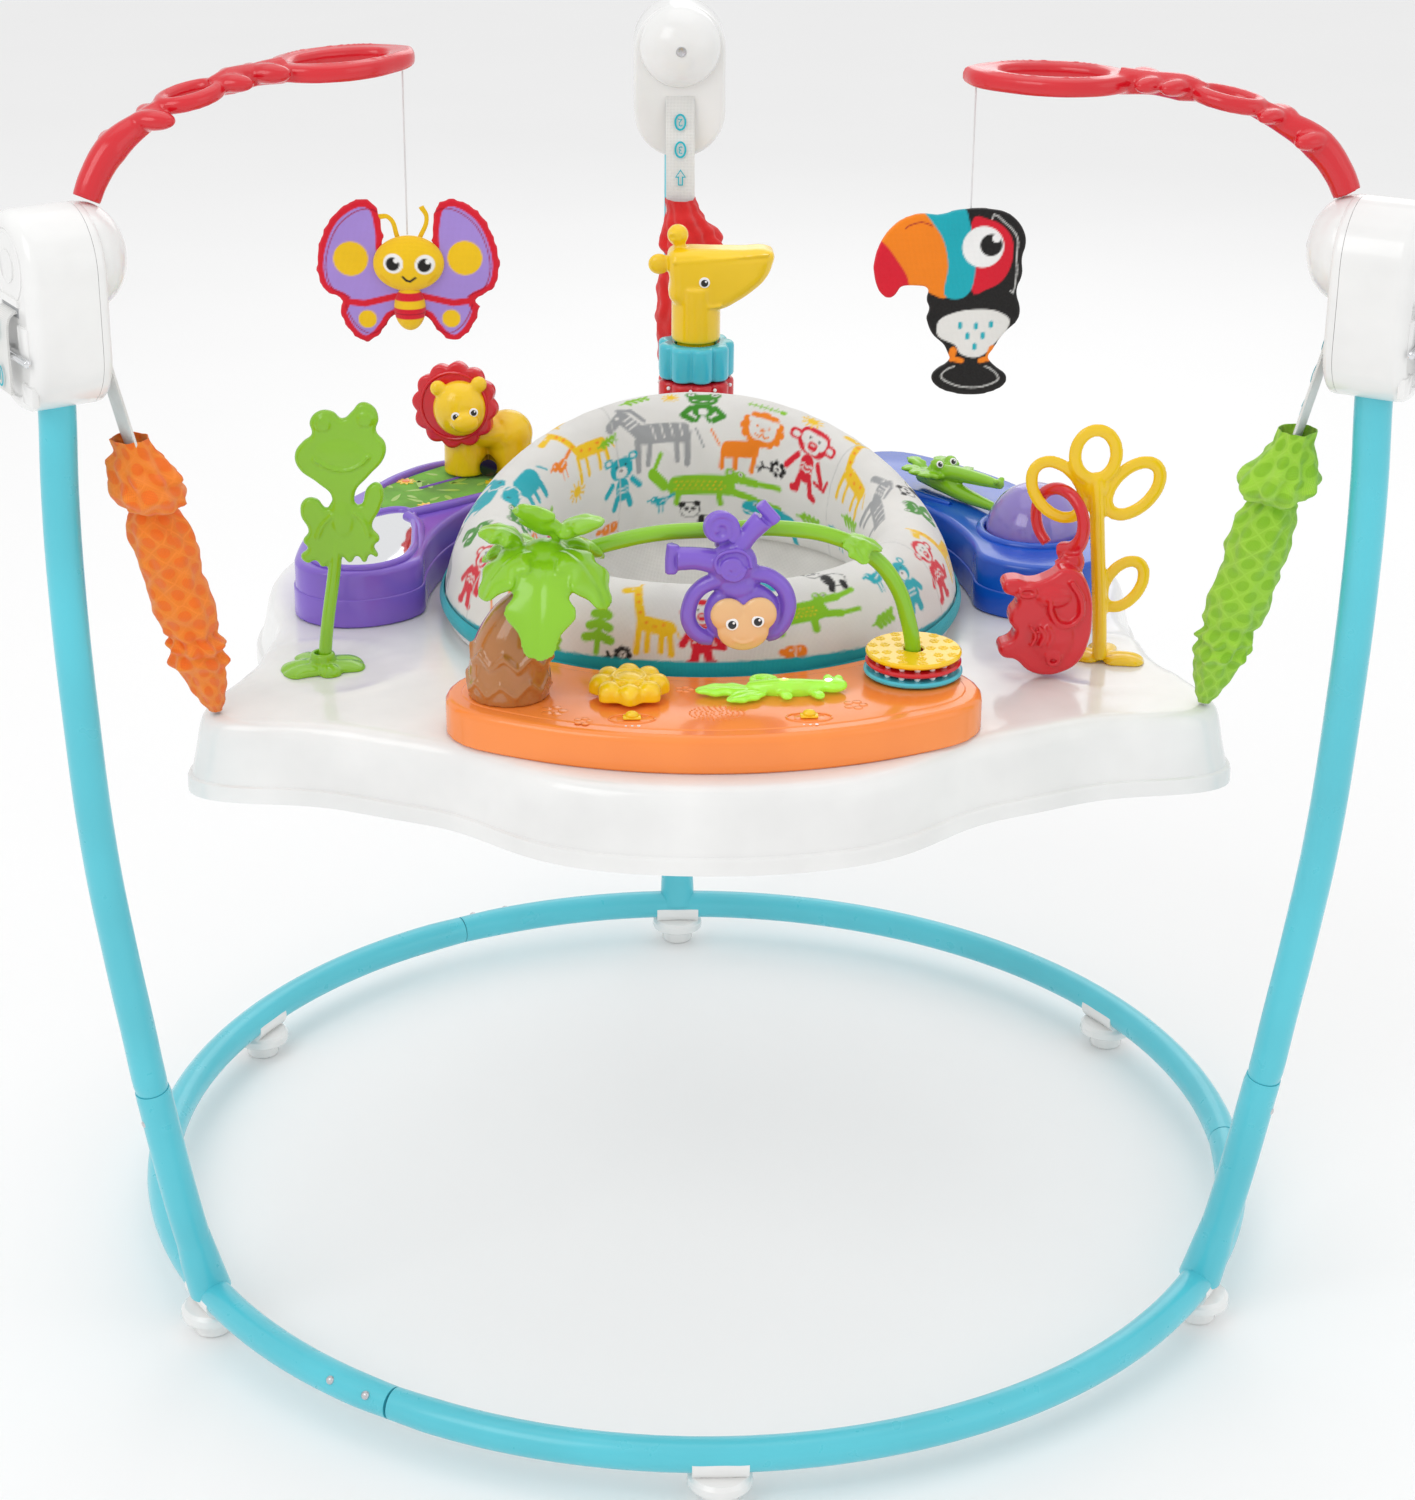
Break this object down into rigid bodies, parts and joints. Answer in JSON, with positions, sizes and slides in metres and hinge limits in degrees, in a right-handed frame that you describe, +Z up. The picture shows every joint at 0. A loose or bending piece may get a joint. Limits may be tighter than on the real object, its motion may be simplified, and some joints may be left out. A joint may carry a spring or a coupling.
{
  "type": "activity jumper",
  "caption": "Baby activity jumper: padded spinning seat in a toy tray, hung on sprung straps from a steel frame with a round base, two arms holding soft toys over it.",
  "frame": {"origin": "middle of the object's box, on the floor", "axes": "+Z up; the front, with the sound panel, faces -Y; +X is the side of the lime sleeve"},
  "size_m": [0.9306, 0.9626, 0.9157],
  "materials": {
    "turquoise_tube": "gloss",
    "white_plastic": "gloss",
    "tray_white": "gloss",
    "chrome_rod": "gloss",
    "spring_steel": "satin",
    "webbing": "matte",
    "orange_sleeve": "matte",
    "lime_sleeve": "matte",
    "red_sleeve": "matte",
    "red_plastic": "gloss",
    "toy_cord": "matte",
    "butterfly_cloth": "matte",
    "toucan_cloth": "matte",
    "orange_plastic": "satin",
    "grey_plastic": "matte",
    "seat_cloth": "matte",
    "trunk_brown": "gloss",
    "lime_plastic": "satin",
    "clear_lime": "gloss",
    "purple_plastic": "gloss",
    "yellow_plastic": "satin",
    "blue_plastic": "satin",
    "clear_lilac": "gloss",
    "sky_plastic": "satin",
    "mirror_sheet": "gloss",
    "black_print": "matte",
    "tan_plastic": "satin",
    "teal_trim": "matte"
  },
  "bodies": {
    "frame": {"base_section_left": "turquoise_tube", "base_section_right": "turquoise_tube", "base_section_back": "turquoise_tube", "post_left": "turquoise_tube", "post_right": "turquoise_tube", "post_back": "turquoise_tube", "foot_1": "white_plastic", "foot_2": "white_plastic", "foot_3": "white_plastic", "foot_4": "white_plastic", "foot_5": "white_plastic", "foot_6": "white_plastic", "pod_outer_left": "white_plastic", "pod_outer_right": "white_plastic", "pod_outer_back": "white_plastic", "pod_inner_left": "white_plastic", "pod_inner_right": "white_plastic", "pod_inner_back": "white_plastic", "adjuster_rod_left": "chrome_rod", "adjuster_rod_right": "chrome_rod", "adjuster_rod_back": "chrome_rod", "strap_left": "webbing", "strap_right": "webbing", "strap_back": "webbing", "spring_left": "spring_steel", "spring_right": "spring_steel", "spring_back": "spring_steel", "sleeve_left": "orange_sleeve", "sleeve_right": "lime_sleeve", "sleeve_back": "red_sleeve", "toy_arm_left": "red_plastic", "toy_arm_right": "red_plastic"},
    "tray": {"tray": "tray_white", "sound_panel": "orange_plastic", "battery_box": "grey_plastic", "mirror_station": "purple_plastic", "ball_station": "blue_plastic", "palm_trunk": "trunk_brown", "palm_arch": "lime_plastic", "light_lizard": "clear_lime"},
    "seat": {"seat_ring": "white_plastic", "seat_pad": "seat_cloth"},
    "butterfly": {"butterfly_cord": "toy_cord", "butterfly": "butterfly_cloth"},
    "toucan": {"toucan_cord": "toy_cord", "toucan": "toucan_cloth"},
    "monkey": {"monkey": "purple_plastic"},
    "flower_button": {"flower_button": "yellow_plastic"},
    "volume_switch": {"volume_switch": "yellow_plastic"},
    "mode_switch": {"mode_switch": "yellow_plastic"},
    "bead_spinner": {"bead_spinner": "yellow_plastic"},
    "frog": {"frog": "lime_plastic"},
    "loop_flower": {"loop_flower": "yellow_plastic"},
    "elephant": {"elephant": "red_plastic"},
    "lion": {"lion": "yellow_plastic"},
    "spin_ball": {"spin_ball": "clear_lilac"},
    "crocodile": {"crocodile": "lime_plastic"},
    "giraffe": {"giraffe": "yellow_plastic"},
    "neck_ring_red": {"neck_ring_red": "red_plastic"},
    "neck_ring_blue": {"neck_ring_blue": "sky_plastic"}
  },
  "joints": [
    {"name": "tray_bounce", "type": "slide", "parent": "frame", "child": "tray", "axis": [0, 0, 1], "range_m": [-0.06, 0.03], "stiffness_N_per_m": 400, "springref_m": 0.07102, "deforming": ["sleeve_left", "sleeve_right", "sleeve_back", "spring_left", "spring_right", "spring_back"]},
    {"name": "seat_spin", "type": "hinge", "parent": "tray", "child": "seat", "pos_m": [0, -0.03877, 0.4935], "axis": [0, 0, 1], "continuous": true},
    {"name": "butterfly_swing", "type": "hinge", "parent": "frame", "child": "butterfly", "pos_m": [-0.20317, -0.12748, 0.9004], "axis": [0, 1, 0], "range_deg": [-25, 25]},
    {"name": "toucan_swing", "type": "hinge", "parent": "frame", "child": "toucan", "pos_m": [0.16653, -0.20344, 0.9004], "axis": [0, 1, 0], "range_deg": [-25, 25]},
    {"name": "monkey_swing", "type": "hinge", "parent": "tray", "child": "monkey", "pos_m": [0.015, -0.24377, 0.617], "axis": [1, 0, 0], "range_deg": [-30, 10]},
    {"name": "flower_press", "type": "slide", "parent": "tray", "child": "flower_button", "axis": [0, 0, 1], "range_m": [-0.003, 0], "stiffness_N_per_m": 300, "springref_m": 0.002},
    {"name": "volume_slide", "type": "slide", "parent": "tray", "child": "volume_switch", "axis": [1, 0, 0], "range_m": [-0.006, 0.006]},
    {"name": "mode_slide", "type": "slide", "parent": "tray", "child": "mode_switch", "axis": [1, 0, 0], "range_m": [-0.006, 0.006]},
    {"name": "bead_spin", "type": "hinge", "parent": "tray", "child": "bead_spinner", "pos_m": [0.136, -0.23877, 0.513], "axis": [0, 0, 1], "continuous": true},
    {"name": "frog_sway", "type": "hinge", "parent": "tray", "child": "frog", "pos_m": [-0.27, -0.15377, 0.4866], "axis": [0, 1, 0], "range_deg": [-12, 12], "stiffness_Nm_per_rad": 0.6},
    {"name": "loop_sway", "type": "hinge", "parent": "tray", "child": "loop_flower", "pos_m": [0.28, -0.15377, 0.4866], "axis": [0, 1, 0], "range_deg": [-1.5, 10], "stiffness_Nm_per_rad": 1.5},
    {"name": "elephant_swing", "type": "hinge", "parent": "loop_flower", "child": "elephant", "pos_m": [0.248, -0.15377, 0.589], "axis": [1, 0, 0], "range_deg": [-25, 5]},
    {"name": "lion_slide", "type": "slide", "parent": "tray", "child": "lion", "axis": [-0.749, -0.6626, 0], "range_m": [0, 0.06]},
    {"name": "ball_spin", "type": "hinge", "parent": "tray", "child": "spin_ball", "pos_m": [0.252, 0.00622, 0.528], "axis": [0, 1, 0], "continuous": true},
    {"name": "crocodile_flip", "type": "hinge", "parent": "tray", "child": "crocodile", "pos_m": [0.178, 0.12623, 0.528], "axis": [-0.85, -0.5268, 0], "range_deg": [0, 50]},
    {"name": "giraffe_turn", "type": "hinge", "parent": "tray", "child": "giraffe", "pos_m": [0.008, 0.26122, 0.485], "axis": [0, 0, 1], "continuous": true},
    {"name": "red_ring_spin", "type": "hinge", "parent": "tray", "child": "neck_ring_red", "pos_m": [0.008, 0.26122, 0.545], "axis": [0, 0, 1], "continuous": true},
    {"name": "blue_ring_spin", "type": "hinge", "parent": "tray", "child": "neck_ring_blue", "pos_m": [0.008, 0.26122, 0.5745], "axis": [0, 0, 1], "continuous": true}
  ]
}
